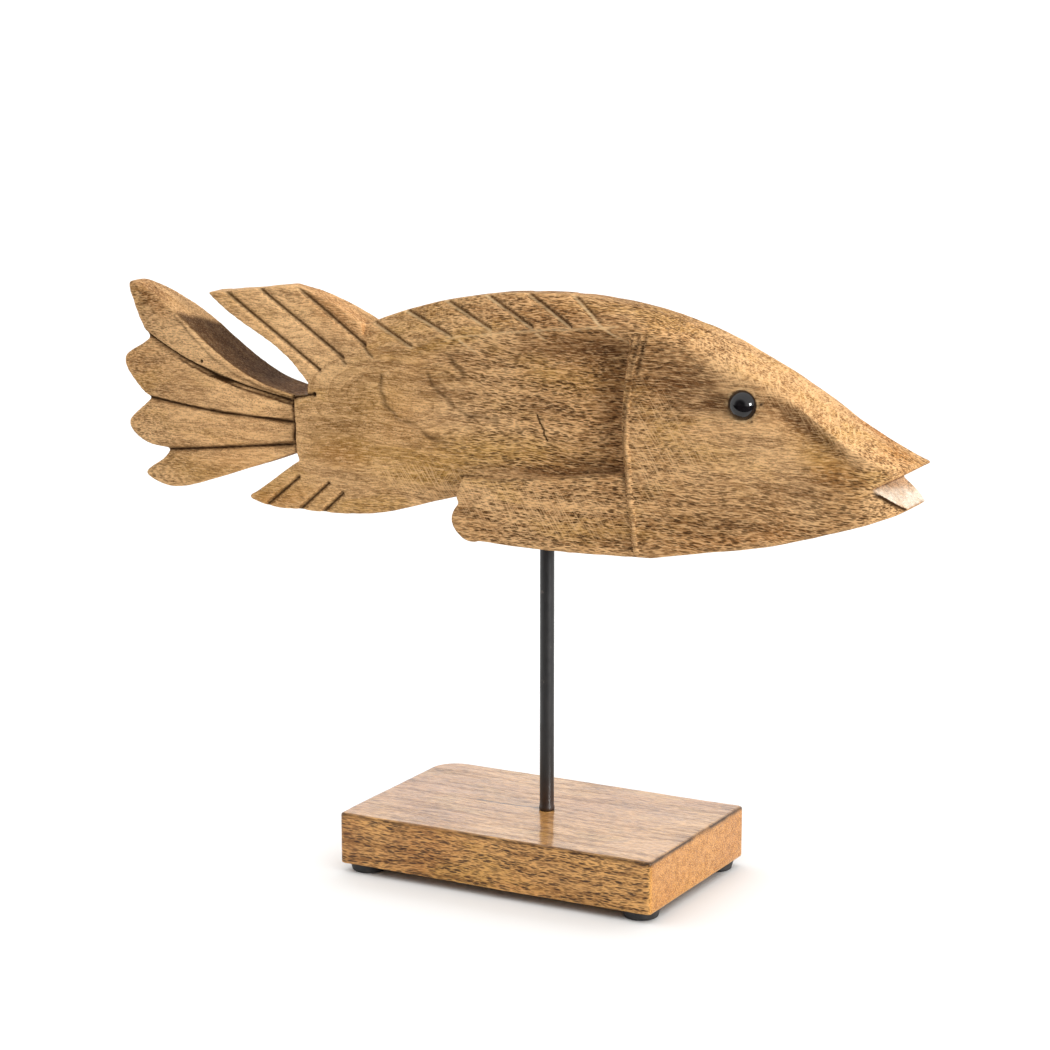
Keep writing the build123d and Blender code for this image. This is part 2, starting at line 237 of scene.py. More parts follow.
# Carved fish: sizes in millimetres, x from tail to nose and z up, as in the frame
fishLook = {
    "voxel": 0.5,
    # flank behind the gill: x, height of the band's line, half thickness outside and in, reach of the scoop
    "scoop": [
        (-62, 207.0, 14.0, 13.1, 16), (-40, 216.4, 14.7, 12.6, 16), (-8, 226.0, 15.6, 12.7, 15),
        (33, 232.6, 16.9, 12.9, 12), (52, 233.0, 17.3, 12.5, 9), (63, 231.8, 17.4, 12.3, 5),
    ],
    "scoopFade": 25, "scoopOver": 1.2, "scoopSoft": 20, "scoopRounds": 8, "core": 9,
    "softRidge": [(60, 239.0), (98, 229.0), (129, 215.5)],
    "ridgeReach": (3, 13), "ridgeRounds": 260, "crest": 6,
    "edgeBend": 0.12, "edgeRounds": 12, "grooveBend": 0.2,
    "flank": (0.25, 0.875),  # how far a face has to turn sideways to count as flank
    "tail": (-98, -92),  # x between which the tail fades into the body
    "hollows": [  # x, z, half width, half height, tilt in degrees, depth
        (93, 212, 24, 8, -6, 1.3), (142, 201, 22, 5, -32, 2.2), (56, 204, 9, 26, 4, 0.9),
        (26, 178, 40, 4, 2, 0.8), (110, 181, 36, 18, -8, -0.7), (-45, 190, 30, 22, 0, -0.8),
        (30, 158, 36, 10, 0, -0.4), (-74, 186, 12, 9, 30, 0.8),
    ],
    "rays": [
        [(-177, 216.5), (-154, 207.2), (-133.0, 199.7), (-94.9, 191.6)],
        [(-177, 187.5), (-132.3, 184.1), (-94.1, 182.9)],
        [(-168, 164.4), (-127.0, 169.6), (-93.4, 173.8)],
    ],
    "finCuts": [
        [(-136.4, 238.1), (-80.3, 206.6)], [(-119.6, 240.6), (-67.2, 211.0)],
        [(-102.4, 243.2), (-54.2, 215.0)],
    ],
    "ventCuts": [
        [(-111, 145.7), (-92.3, 160.3)], [(-95.6, 144.2), (-77.7, 159.0)], [(-84.1, 144.1), (-71.4, 154.9)],
    ],
    "backCuts": [
        [(-58.3, 227.7), (-35.1, 220.5)], [(-43.7, 233.9), (-16.4, 226.5)], [(-25.4, 239.5), (3.0, 230.5)],
        [(-7.1, 243.4), (22.4, 232.5)], [(13.1, 244.9), (40.3, 234.0)], [(33.6, 245.8), (52.3, 236.5)],
    ],
    "scratches": [
        [(52.3, 236.5), (65.5, 229.5)], [(24.0, 231.0), (27.5, 229.0)], [(-12, 225.5), (-5, 221.0)],
    ],
    "tailRoot": [
        [(-95.5, 194), (-96, 190), (-95, 187), (-95.5, 183.5), (-95, 180), (-95.5, 177), (-94.5, 170.5)],
        [(-83.5, 196.5), (-90.5, 195), (-95.5, 193.5)],
    ],
    "tailEdge": [
        (-156, 224.5), (-145.7, 215.7), (-135.3, 207.5), (-124.9, 201.6), (-111, 196.7), (-97.2, 193.4),
    ],
    "slabLine": [
        (-13, 168), (-3, 168.5), (12, 169.5), (27, 171.5), (41.5, 173.5), (52, 175), (60, 177),
    ],
    "gill": [
        [(70.5, 233.2), (67.3, 219.9), (65.0, 206.8), (63.6, 189.1), (64.6, 172)],
        [(73.4, 232.8), (69.4, 217.7)],
    ],
    "rings": [
        [(-27.9, 209.5), (-23.3, 201.7), (-17.2, 197.6), (-8.0, 194.4), (4, 192)],
        [(-15.9, 216.6), (-15, 213), (-12, 210)],
        [(-50, 207), (-50.4, 200.3), (-48.9, 195.0), (-41.1, 189.2), (-31.8, 185.0), (-20.4, 181.0)],
    ],
    "bandLine": [(-19, 224.4), (-12.3, 226.4), (7.3, 229.4), (25.6, 231.9), (43.7, 233.8), (60.7, 235.8)],
    "crack": [(22.7, 196.6), (23.8, 194.1), (24.3, 192.6), (25.7, 190.7), (26.0, 188.4), (27.3, 186.3)],
    "lipCrack": [(173.5, 178.0), (183, 172.2)],
    "holes": [(-83.6, 196.5, 0.9), (-141.9, 205.9, 0.8)],  # x, z, radius
    "glue": [(123.6, 209.9, 1.1), (120.1, 202.8, 0.9)],
    "unevenness": [(26, 0.35), (9, 0.16), (3.2, 0.05)],  # size of the swell and its height
    "boreRadius": 3.25, "boreRim": 0.6, "boreEnd": 0.4,
    "cutIn": {"dish": (5.0, 0.7), "ray": (0.7, 0.4), "root": (0.9, 0.9), "gill": (1.0, 0.5)},  # width, depth
    "crackDepth": 0.7, "glueHeight": 0.5,
    "drawn": {  # half width and strength of each line drawn in the wood's colour, most of them painted shade in cuts, grooves and at steps, some painted highlight on edges and lit walls
        "ray": (0.65, 0.85), "cut": (0.6, 0.85), "backShade": (0.7, 0.65), "slabLine": (0.7, 0.75),
        "tailEdge": (0.6, 0.75), "gill": (1.2, 0.45), "ring": (1.1, 0.70), "root": (1.0, 1.0),
        "crack": (0.32, 1.0), "lipCrack": (0.7, 1.0), "bandEdge": (0.5, 0.7), "bandWearAndHighlight": (0.45, 0.5),
        "backFreshAndLit": (0.42, 1.0), "finFreshAndLit": (0.4, 0.4), "chips": (0.5, 0.6),
    },
    # painted shade, with some darker end grain, on the upper lobe's top face, where the dorsal fin's shadow
    # falls and the face turns from the key light: a wedge round a sloping line, where the painted shade
    # starts and where it thins
    "tailTopShade": {"line": (-92, 192), "fall": 0.3, "wedge": -85, "start": -158, "nearY": -9, "slant": 0.5,
                "startFade": 6, "thin": -114, "thinFade": 14},
    "lip": {"x": 166, "z": 187, "upward": 0.25},
    # painted shade under the upper jaw: where it ends on the lip's cut, how it slants and how it fades
    "mouth": {"x": 168.5, "nearY": -15, "slant": 0.2, "fade": 5},
    "farShift": (12.0, 0.0, -4.0),  # the far side's stains and painted shade aren't a mirror image
    # stains, marks and painted shade: x, z, half width, half height, tilt in degrees, strength
    "smokeAndShade": [
        (40, 225, 24, 5, 4, 1.0), (57, 205, 7, 26, 4, 0.55), (90, 214, 22, 9, -4, 1.0),
        (107, 208, 11, 4, -12, 0.5), (140, 203.5, 18, 4, -33, 0.95), (27, 200, 12, 5, 0, 0.5),
        (45, 178.5, 18, 2.2, -5, 0.75), (98, 160, 38, 6, 5, 0.5), (145, 178, 22, 5, 14, 0.45),
        (66, 150, 16, 4, 0, 0.5), (35, 238, 40, 5, 0, 0.4), (-70, 180, 20, 14, 25, 0.5),
        (24, 173.5, 38, 2.0, 4, 0.8), (-20, 205, 16, 8, 0, 0.3), (-172, 229.5, 7, 5, 60, 0.5),
        (-150, 196, 14, 5, -20, 0.3), (-60, 205, 20, 8, 35, 0.35),
    ],
    "gold": [
        (6, 181, 34, 6, 0, 0.6), (-27, 169, 26, 7, 10, 0.7), (-10, 227, 30, 3, 20, 0.6),
        (98, 189, 20, 5, -4, 0.4), (-105, 152, 30, 8, 0, 0.5), (-150, 158, 20, 6, -10, 0.35),
        (40, 212, 20, 5, 0, 0.35), (150, 190, 12, 6, -30, 0.6), (-70, 174, 18, 8, 0, 0.6),
        (-60, 196, 26, 14, 20, 0.4), (-30, 232, 30, 6, 20, 0.3),
    ],
    "rasp": [
        (-31, 164, 24, 8, 0, 1.0), (25, 158, 40, 12, 0, 0.9), (76, 190, 12, 24, 0, 0.9),
        (95, 190, 20, 14, 0, 0.6), (150, 207, 25, 8, -35, 1.0), (110, 225, 30, 8, -28, 0.8),
        (-20, 236, 60, 8, 10, 0.4),
    ],
    "rust": [
        (-76, 231, 24, 5, -28, 0.5), (178, 197, 10, 6, -30, 0.95), (-170, 231, 12, 4, -35, 0.6),
        (-72, 172, 14, 6, 0, 0.4), (-105, 148, 24, 5, 15, 0.4), (60, 178, 8, 6, 0, 0.3),
        (155, 185, 10, 6, 0, 0.4), (120, 156, 30, 3, 12, 0.5), (20, 238, 50, 6, 0, 0.3),
        (57, 200, 8, 24, 4, 0.3),
    ],
    "short": [(-110, 190, 72, 60, 0, 1.0), (-42, 192, 30, 34, 0, 0.5), (128, 200, 40, 36, 0, 0.6)],
    # lighter patches
    "paler": [
        (-140, 192, 44, 48, 0, 0.3), (-148, 214, 24, 11, -22, 0.8), (-100, 228, 34, 14, -28, 0.5),
        (10, 205, 40, 14, 0, 0.4), (8, 184, 36, 7, 0, 0.35), (120, 190, 30, 10, 0, 0.35),
        (105, 172, 30, 8, 5, 0.25),
    ],
}


def scoopFlank(points, edges, side):  # a soft scoop under the band, and a soft ridge over the cheek
    look = fishLook
    x, out, z = points[:, 0], np.abs(points[:, 1]), points[:, 2]
    xs, tops, outer, inner, reaches = np.array(look["scoop"], float).T
    below = np.interp(x, xs, tops) - z
    wall = np.interp(x, xs, outer) - np.interp(x, xs, inner)
    lift = wall * (1 - smooth(below / np.interp(x, xs, reaches))) * smooth((x - xs[0]) / look["scoopFade"])
    inPanel = (x > xs[0]) & (x < xs[-1]) & (below > -look["scoopOver"]) & (out > look["core"])
    scooped = np.maximum(out, np.minimum(out + lift, np.interp(x, xs, outer)))
    points[:, 1] = np.where(inPanel, side * scooped, points[:, 1])
    points = relaxed(points, edges, look["scoopRounds"], 0.5 * (inPanel & (below < look["scoopSoft"])))
    ridge = np.interp(toLine(points, look["softRidge"]), look["ridgeReach"], (1, 0))
    ridge *= np.abs(points[:, 1]) > look["crest"]
    return relaxed(points, edges, look["ridgeRounds"], 0.5 * ridge)


def roundBore(points):  # the bore is pushed back to a clean round
    look = fishLook
    low, high = boxOf("stand_rod")
    rodX = (low.x + high.x) / 2
    away = np.hypot(points[:, 0] - rodX, points[:, 1])
    inBore = (away < look["boreRadius"] + look["boreRim"]) & (points[:, 2] < high.z - look["boreEnd"])
    stretch = np.where(inBore, look["boreRadius"] / np.maximum(away, 0.1), 1.0)
    points[:, 0] = rodX + (points[:, 0] - rodX) * stretch
    points[:, 1] *= stretch


def carveFish():
    look, cutIn, drawn = fishLook, fishLook["cutIn"], fishLook["drawn"]
    mesh = remeshed("fish_carving", look["voxel"])
    points, edges = readMesh(mesh)
    points = relaxed(points, edges, 1)
    side = np.where(points[:, 1] < 0, -1.0, 1.0)
    near = side < 0
    points = scoopFlank(points, edges, side)
    normals = writeMesh(mesh, points)
    onEdge = np.clip(-bendOf(points, edges, normals) / look["edgeBend"], 0, 1)
    points = relaxed(points, edges, look["edgeRounds"], 0.5 * softened(onEdge, edges, 4))

    flank = np.interp(np.abs(normals[:, 1]), look["flank"], (0, 1))
    onTail = np.interp(points[:, 0], look["tail"], (1, 0))
    shaky = shaken(points, 0.5, 6, 21)
    rays = nearest(points, look["rays"])
    root = nearest(shaky, look["tailRoot"])
    gill = nearest(shaky, look["gill"])
    crack = stroke(toLine(shaken(points, 0.3, 2, 22), look["crack"]), *drawn["crack"])
    for holeX, holeZ, radius in look["holes"]:
        fromHole = np.hypot(points[:, 0] - holeX, points[:, 2] - holeZ)
        crack = np.maximum(crack, stroke(fromHole ** 2, radius ** 2))
    crack *= near
    glue = near * np.max([patch(points, gx, gz, r, 0.8 * r, 40) ** 2 for gx, gz, r in look["glue"]], axis=0)
    inward = sum(patch(points, *hollow) for hollow in look["hollows"])
    dishWide, dishDeep = cutIn["dish"]
    inward += onTail * (dishDeep * np.exp(-rays / dishWide) + stroke(rays, *cutIn["ray"]))
    inward += stroke(root, *cutIn["root"]) + stroke(gill, *cutIn["gill"])
    inward += look["crackDepth"] * crack - look["glueHeight"] * glue
    points[:, 1] -= side * flank * inward
    for seed, (size, height) in enumerate(look["unevenness"]):
        points += normals * (height * waves(points, size, seed + 1))[:, None]
    roundBore(points)

    normals = writeMesh(mesh, points)  # from here on, only what the material has to know
    x, y, z = points.T
    sideways, upward = normals[:, 1], normals[:, 2]
    bend = bendOf(points, edges, normals) / look["grooveBend"]
    wavy = shaken(points, 1.6, 7, 31)
    patchy = uneven(points, 7, 41, mean=0.75, swing=0.5, most=2)

    lip = (x > look["lip"]["x"]) & (z < look["lip"]["z"]) & (upward > look["lip"]["upward"])
    lip = softened(lip, edges, 2)
    lipWide = softened(lip, edges, 6)
    # a dark rim round the lip's cut, partly painted shade at its edges, with a crack along its near edge
    lipEdge = np.clip(4 * lipWide * (1 - lipWide), 0, 1) ** 0.7 * np.where(sideways < -0.2, 1.0, 0.5)
    lipEdge *= uneven(points, 3, 51, mean=0.8, least=0.2)
    lipEdge += stroke(toLine(points, look["lipCrack"]), *drawn["lipCrack"]) * (sideways < -0.4)
    mouth = look["mouth"]
    outOfJawShade = smooth((x - mouth["x"] - mouth["slant"] * (y - mouth["nearY"])) / mouth["fade"])
    lip *= 0.25 + 0.75 * outOfJawShade  # painted shade: the cut stays golden deep in the mouth, under the upper jaw
    keep(mesh, "pale", lip * uneven(points, 4, 71, mean=0.85, swing=0.6, least=0.3))

    # painted shade on the upper lobe's top face, starting at the edge of the dorsal fin's shadow
    top = look["tailTopShade"]
    lineX, lineZ = top["line"]
    inWedge = np.abs(z - lineZ + top["fall"] * (x - lineX)) < top["fall"] * (top["wedge"] - x)
    started = smooth((x - top["start"] - top["slant"] * (y - top["nearY"])) / top["startFade"])
    thinned = smooth((x - top["thin"]) / top["thinFade"])
    tailTopShade = onTail * inWedge * np.clip(2.5 * upward - 0.8, 0, 1) * (0.1 + 0.9 * started - 0.3 * thinned)

    # painted shade: dark lines in the tail's rays and in the fin and vent cuts, on the back cuts' shaded
    # walls, at the step over the slab, along the tail's top edge and beside the gill bead; the growth rings
    # are the wood's own
    dark = np.max([
        stroke(rays, *drawn["ray"]) * onTail,
        stroke(nearest(points, look["finCuts"] + look["ventCuts"]), *drawn["cut"]),
        stroke(nearest(points - [0, 0, 0.7], look["backCuts"]), *drawn["backShade"]),  # shaded walls
        patchy * stroke(toLine(shaky, look["slabLine"]), *drawn["slabLine"]),
        patchy * stroke(toLine(shaky, look["tailEdge"]), *drawn["tailEdge"]),
        patchy * stroke(gill, *drawn["gill"]),
        patchy * stroke(nearest(wavy, look["rings"]), *drawn["ring"]),
    ], axis=0)
    # painted shade in grooves, on the tail's top face, round the lip's cut and in the gap at the tail's root,
    # together with cracks and nail holes
    shadeAndDarkLines = 0.45 * np.clip(bend, 0, 1) + 0.75 * tailTopShade + 0.9 * lipEdge + dark * flank
    keep(mesh, "shadeAndDarkLines", np.clip(shadeAndDarkLines + crack + patchy * stroke(root, *drawn["root"]), 0, 1))
    # painted highlight, partly wear: lighter on convex edges and along the band's line
    edgeWearAndHighlight = softened(np.clip(-bend, 0, 0.45), edges, 4)
    keep(mesh, "edgeWearAndHighlight", edgeWearAndHighlight + flank * stroke(toLine(wavy, look["bandLine"]), *drawn["bandEdge"]))

    eyeLow, eyeHigh = boxOf("right_eye")
    eyeX, _, eyeZ = (eyeLow + eyeHigh) / 2
    pastEye = np.hypot(x - eyeX, z - eyeZ) - (eyeHigh.x - eyeLow.x) / 2 - 0.4
    # painted highlight on the lit lower walls of the back and fin cuts and along the band's line, with the
    # pale of fresh cuts, scratches and chips round the eye
    backFreshAndLit = nearest(points + [0, 0, 0.5], look["backCuts"] + look["scratches"])
    freshWearAndHighlight = np.max([
        patchy * stroke(backFreshAndLit, *drawn["backFreshAndLit"]),
        stroke(nearest(points + [0, 0, 0.8], look["finCuts"]), *drawn["finFreshAndLit"]),
        patchy * stroke(toLine(shaky, look["bandLine"]), *drawn["bandWearAndHighlight"]),
        stroke(pastEye, *drawn["chips"]) * uneven(points, 1.6, 61, mean=0.3, swing=2),
    ], axis=0)
    keep(mesh, "freshWearAndHighlight", np.clip(freshWearAndHighlight, 0, 1) * (np.abs(sideways) > 0.2))

    shifted = points + np.where(points[:, 1:2] > 0, look["farShift"], 0.0)
    for name in ("gold", "rust", "rasp", "short", "paler"):
        keep(mesh, name, sum(patch(shifted, *spot) for spot in look[name]))
    # smoky stains and painted shade: under the band, in the cheek's hollow, above the slab, by the gill and
    # on the tail's top face
    smokeAndShade = sum(patch(shifted, *spot) for spot in look["smokeAndShade"])
    keep(mesh, "smokeAndShade", np.clip(smokeAndShade + tailTopShade, 0, 1))
    keep(mesh, "black", glue)
    print("fish carved:", len(points), "points")
    return mesh


# Mango wood: brown heartwood with open pores, seen as dark dashes along the grain and dots across it
mangoFish = {
    "light": "#eec08a", "mid": "#cb9963", "dark": "#734a25", "pore": "#3a230f", "shadeAndDarkLines": "#38230f",
    "gold": "#b58a3c", "smokeAndShade": "#654126", "cut": "#eae1d1", "freshWearAndHighlight": "#efcc9a", "endGrain": "#b5763c",
    "glue": "#151212",
    # length and width of long, fine and short pores, about twice as wide as real ones so that they show
    "pores": [(4.2, 0.75), (2.4, 0.52), (1.2, 0.62)], "poreEdge": (0.28, 0.47), "fine": 0.65, "short": 0.45,
    "fibre": (5.0, 0.5), "streak": (45.0, 3.2), "cloud": (34.0, 13.0), "broad": 50.0, "warp": (45.0, 6.0),
    "tones": [  # pattern, values between which it fades in, strength, colour
        ("cloud", 0.52, 0.68, 0.5, "gold"), ("cloud", 0.48, 0.32, 0.35, "smokeAndShade"),
        ("streak", 0.44, 0.68, 0.6, "dark"),
    ],
    "ringCentre": (-41.5, 0.0, 197.6), "ringShape": (30.0, 22.0, 14.0), "ringStep": 0.42,
    "ringReach": (1.4, 2.6), "ringStrength": 0.6,
    "raspAngles": [(-58, 1.0), (52, 0.5)], "raspSize": (8, 4, 0.65),  # strokes that cross, about 1 mm apart
    "endTurn": (0.35, 0.85), "endStrength": 0.6, "endPores": 0.8,  # faces across the grain
    "topTurn": (0.6, 0.95), "topPores": 1.0, "poreStrength": 0.95,  # faces that look up
    "roughness": (0.55, 0.78), "ior": 1.5, "specular": 0.05, "coat": 0.0, "coatRoughness": 0.12, "bump": 0.22,
}
mangoBase = dict(
    mangoFish, light="#d19c5b", mid="#b47c43", dark="#6a421f", endGrain="#b27020", freshWearAndHighlight="#dba95e",
    pores=[(4.8, 0.8), (2.6, 0.55), (1.9, 1.0)],
    ringCentre=(60.0, 90.0, -40.0), ringShape=(300.0, 30.0, 30.0),
    roughness=(0.3, 0.45), specular=0.1, coat=1.0, bump=0.1, topPores=0.35, endPores=0.5)


def mangoWood(name, look, carved):
    material, tree, shader = newMaterial(name)
    place = addNode(tree, "TexCoord", out="Object")
    face = addNode(tree, "TexCoord", out="Normal")
    across = addNode(tree, "Math", [addNode(tree, "SeparateXYZ", [face], "X")], operation="ABSOLUTE")
    upward = addNode(tree, "SeparateXYZ", [face], "Z")
    marks = {}
    for mark in ("short", "paler", "gold", "rust", "smokeAndShade", "rasp", "pale") if carved else ():
        marks[mark] = addNode(tree, "Attribute", out="Fac", attribute_name=mark)

    swell, drift = look["warp"]  # the grain wanders
    bend = addNode(tree, "TexNoise", {"Vector": place, "Scale": 1 / (swell * mm), "Detail": 2}, "Color")
    bend = addNode(tree, "VectorMath", [bend, (0.5, 0.5, 0.5)], operation="SUBTRACT")
    grain = addNode(tree, "VectorMath", [bend, (0, drift * mm, drift * mm), place], operation="MULTIPLY_ADD")

    pores = []
    for length, width in look["pores"]:
        spread = addNode(tree, "VectorMath", [grain, perSize(length, width, width)], operation="MULTIPLY")
        cells = addNode(tree, "TexVoronoi", {"Vector": spread, "Scale": 1.0})
        pores.append(addNode(tree, "MapRange", [cells, *look["poreEdge"], 1.0, 0.0], **softStep))
    fine = addNode(tree, "Math", [pores[1], look["fine"]], operation="MULTIPLY")
    pore = addNode(tree, "Math", [pores[0], fine], operation="MAXIMUM")
    if carved:
        faint = addNode(tree, "Math", [pores[2], look["short"]], operation="MULTIPLY")
        pore = addNode(tree, "Mix", {0: marks["short"], 2: pore, 3: faint})
    patterns = {}
    for kind, detail in (("fibre", 2), ("streak", 4), ("cloud", 3)):
        length, width = look[kind]
        spread = addNode(tree, "VectorMath", [grain, perSize(length, width, width)], operation="MULTIPLY")
        patterns[kind] = addNode(tree, "TexNoise", {"Vector": spread, "Scale": 1.0, "Detail": detail})
    fibre, streak = patterns["fibre"], patterns["streak"]
    broad = addNode(tree, "TexNoise", {"Vector": place, "Scale": 1 / (look["broad"] * mm), "Detail": 4})
    centre = [c * mm for c in look["ringCentre"]]
    spread = addNode(tree, "VectorMath", [grain, centre], operation="SUBTRACT")
    spread = addNode(tree, "VectorMath", [spread, perSize(*look["ringShape"])], operation="MULTIPLY")
    ringInputs = {"Vector": spread, "Distortion": 1.4, "Scale": 0.5 / look["ringStep"], "Detail": 2,
                  "Detail Scale": 1.5}
    rings = addNode(tree, "TexWave", ringInputs, "Fac", wave_type="RINGS", rings_direction="SPHERICAL",
                    wave_profile="SAW")

    lightness = addNode(tree, "MapRange", [broad, 0.34, 0.66, 0.0, 1.0], **softStep)
    colour = addNode(tree, "Mix", {0: lightness, 6: look["mid"], 7: look["light"]}, 2, **colourMix)
    for pattern, low, high, most, shade in look["tones"]:
        amount = addNode(tree, "MapRange", [patterns[pattern], low, high, 0.0, most], **softStep)
        colour = addNode(tree, "Mix", {0: amount, 6: colour, 7: look[shade]}, 2, **colourMix)
    near = addNode(tree, "VectorMath", [spread], "Value", operation="LENGTH")
    near = addNode(tree, "MapRange", [near, *look["ringReach"], look["ringStrength"], 0.0], **softStep)
    amount = addNode(tree, "MapRange", [rings, 0.70, 1.0, 0.0, near], **softStep)
    colour = addNode(tree, "Mix", {0: amount, 6: colour, 7: look["dark"]}, 2, **colourMix)
    amount = addNode(tree, "MapRange", [across, *look["endTurn"], 0.0, look["endStrength"]], **softStep)
    colour = addNode(tree, "Mix", {0: amount, 6: colour, 7: look["endGrain"]}, 2, **colourMix)
    darkFibre = 0.6
    if carved:
        for mark, shade in (("paler", "light"), ("gold", "gold"), ("rust", "endGrain")):
            colour = addNode(tree, "Mix", {0: marks[mark], 6: colour, 7: look[shade]}, 2, **colourMix)
        # smoky stains and painted shade, darker in the dark streaks
        amount = addNode(tree, "MapRange", [streak, 0.25, 0.6, 0.6, 1.0], **softStep)
        amount = addNode(tree, "Math", [marks["smokeAndShade"], amount], operation="MULTIPLY")
        colour = addNode(tree, "Mix", {0: amount, 6: colour, 7: look["smokeAndShade"]}, 2, **colourMix)
        darkFibre = addNode(tree, "MapRange", [marks["short"], 0.0, 1.0, 0.6, 0.3])
    for end, most, shade in ((0.62, darkFibre, "dark"), (0.38, 0.5, "light")):
        amount = addNode(tree, "MapRange", [fibre, 0.50, end, 0.0, most], **softStep)
        colour = addNode(tree, "Mix", {0: amount, 6: colour, 7: look[shade]}, 2, **colourMix)
    amount = addNode(tree, "MapRange", [streak, 0.3, 0.55, 0.5, 1.0], **softStep)  # pores lie in the streaks
    pore = addNode(tree, "Math", [pore, amount], operation="MULTIPLY")
    amount = addNode(tree, "MapRange", [across, *look["endTurn"], 1.0, look["endPores"]], **softStep)
    pore = addNode(tree, "Math", [pore, amount], operation="MULTIPLY")
    most = look["poreStrength"]
    amount = addNode(tree, "MapRange", [upward, *look["topTurn"], most, most * look["topPores"]], **softStep)
    amount = addNode(tree, "Math", [pore, amount], operation="MULTIPLY")
    colour = addNode(tree, "Mix", {0: amount, 6: colour, 7: look["pore"]}, 2, **colourMix)
    height = addNode(tree, "Math", [fibre, 0.6], operation="MULTIPLY")
    height = addNode(tree, "Math", [height, pore], operation="SUBTRACT")
    if carved:
        strokes = []
        for angle, most in look["raspAngles"]:
            turn = {"Vector": place, "Axis": (0, 1, 0), "Angle": math.radians(angle)}
            turned = addNode(tree, "VectorRotate", turn)
            spread = addNode(tree, "VectorMath", [turned, perSize(*look["raspSize"])], operation="MULTIPLY")
            lines = addNode(tree, "TexNoise", {"Vector": spread, "Scale": 1.0, "Detail": 1})
            strokes.append(addNode(tree, "MapRange", [lines, 0.52, 0.62, 0.0, most], **softStep))
        scored = addNode(tree, "Math", strokes, operation="MAXIMUM")
        amount = addNode(tree, "MapRange", [marks["rasp"], 0.1, 0.9, 0.06, 0.5], **softStep)
        rasp = addNode(tree, "Math", [scored, amount], operation="MULTIPLY")
        colour = addNode(tree, "Mix", {0: rasp, 6: colour, 7: look["light"]}, 2, **colourMix)
        height = addNode(tree, "Math", [height, rasp], operation="SUBTRACT")
        amount = addNode(tree, "MapRange", [fibre, 0.35, 0.65, 1.0, 0.6], **softStep)
        amount = addNode(tree, "Math", [marks["pale"], amount], operation="MULTIPLY")
        colour = addNode(tree, "Mix", {0: amount, 6: colour, 7: look["cut"]}, 2, **colourMix)
    # painted highlight with wear on edges, painted highlight with fresh cuts on lit walls, painted shade with
    # dark lines in grooves and at steps, and glue
    for mark, shade, most in (("edgeWearAndHighlight", "light", 0.45), ("freshWearAndHighlight", "freshWearAndHighlight", 0.85), ("shadeAndDarkLines", "shadeAndDarkLines", 1.0),
                              ("black", "glue", 1.0)):
        amount = addNode(tree, "Attribute", out="Fac", attribute_name=mark)
        amount = addNode(tree, "MapRange", [amount, 0.0, 1.0, 0.0, most])
        colour = addNode(tree, "Mix", {0: amount, 6: colour, 7: look[shade]}, 2, **colourMix)
    bump = addNode(tree, "Bump", {"Height": height, "Distance": look["bump"] * mm, "Strength": 0.8})
    rough = addNode(tree, "Math", [fibre, pore], operation="ADD")
    rough = addNode(tree, "MapRange", [rough, 0.3, 1.4, *look["roughness"]], **softStep)
    tree.links.new(colour, shader["Base Color"])
    tree.links.new(rough, shader["Roughness"])
    tree.links.new(bump, shader["Normal"])
    shader["IOR"].default_value = look["ior"]
    shader["Specular IOR Level"].default_value = look["specular"]
    shader["Coat Roughness"].default_value = look["coatRoughness"]
    if look["coat"]:  # varnish, thinner on the sides and sunk into the dark streaks
        coat = look["coat"]
        amount = addNode(tree, "MapRange", [upward, *look["topTurn"], 0.5 * coat, coat], **softStep)
        thin = addNode(tree, "MapRange", [streak, 0.44, 0.64, 1.0, 0.7], **softStep)
        amount = addNode(tree, "Math", [amount, thin], operation="MULTIPLY")
        tree.links.new(amount, shader["Coat Weight"])
    return material


oiledMango = mangoWood("oiledMango", mangoFish, True)
newPiece("carvedFish", carveFish(), oiledMango, "fish", "carved_wood", "fish_carving")

# Base block: sawn, with edges worn round, a coat of varnish, and a dark line along the top edges
baseLook = {
    "voxel": 0.5, "unevenness": [(30, 0.25), (6, 0.06)], "edgeBend": 0.08,
    "topEdge": 2.0, "run": 0.7, "runWide": 1.0,  # reach of the edge, and the place of the dark line under it
    "split": [(-12, -0.5), (-1, -1.0), (9, -0.2), (17.5, 0.6)], "splitWide": 0.6,  # x and y beside the rod
    "level": 0.7, "rubbed": 0.4,
}


def wornBase():
    look = baseLook
    mesh = remeshed("base_block", look["voxel"])
    points, edges = readMesh(mesh)
    points = relaxed(points, edges, 3)
    normals = writeMesh(mesh, points)
    for seed, (size, height) in enumerate(look["unevenness"]):
        points += normals * (height * waves(points, size, seed + 11))[:, None]
    normals = writeMesh(mesh, points)
    under = points[:, 2].max() - points[:, 2]
    level = normals[:, 2] > look["level"]
    onEdge = np.clip(-bendOf(points, edges, normals) / look["edgeBend"] - 0.3, 0, 1)
    onTop = under < look["topEdge"]
    fromSplit = toLine(shaken(points, 0.4, 3, 15)[:, [0, 2, 1]], look["split"])  # seen from above
    shadeAndDarkLines = np.max([
        onEdge * onTop * uneven(points, 14, 13, mean=0.8, least=0.3),
        stroke(under - look["run"], look["runWide"]) * ~level * uneven(points, 9, 14, mean=0.8, least=0.1),
        stroke(fromSplit, look["splitWide"]) * level,
    ], axis=0)
    keep(mesh, "shadeAndDarkLines", shadeAndDarkLines)
    # paler on the convex edges of the sides: wear, partly painted highlight
    keep(mesh, "freshWearAndHighlight", softened(look["rubbed"] * onEdge * ~onTop, edges, 3))
    print("base worn:", len(points), "points")
    return mesh


varnishedMango = mangoWood("varnishedMango", mangoBase, False)
newPiece("baseBlock", wornBase(), varnishedMango, "stand", "base_wood", "base_block")

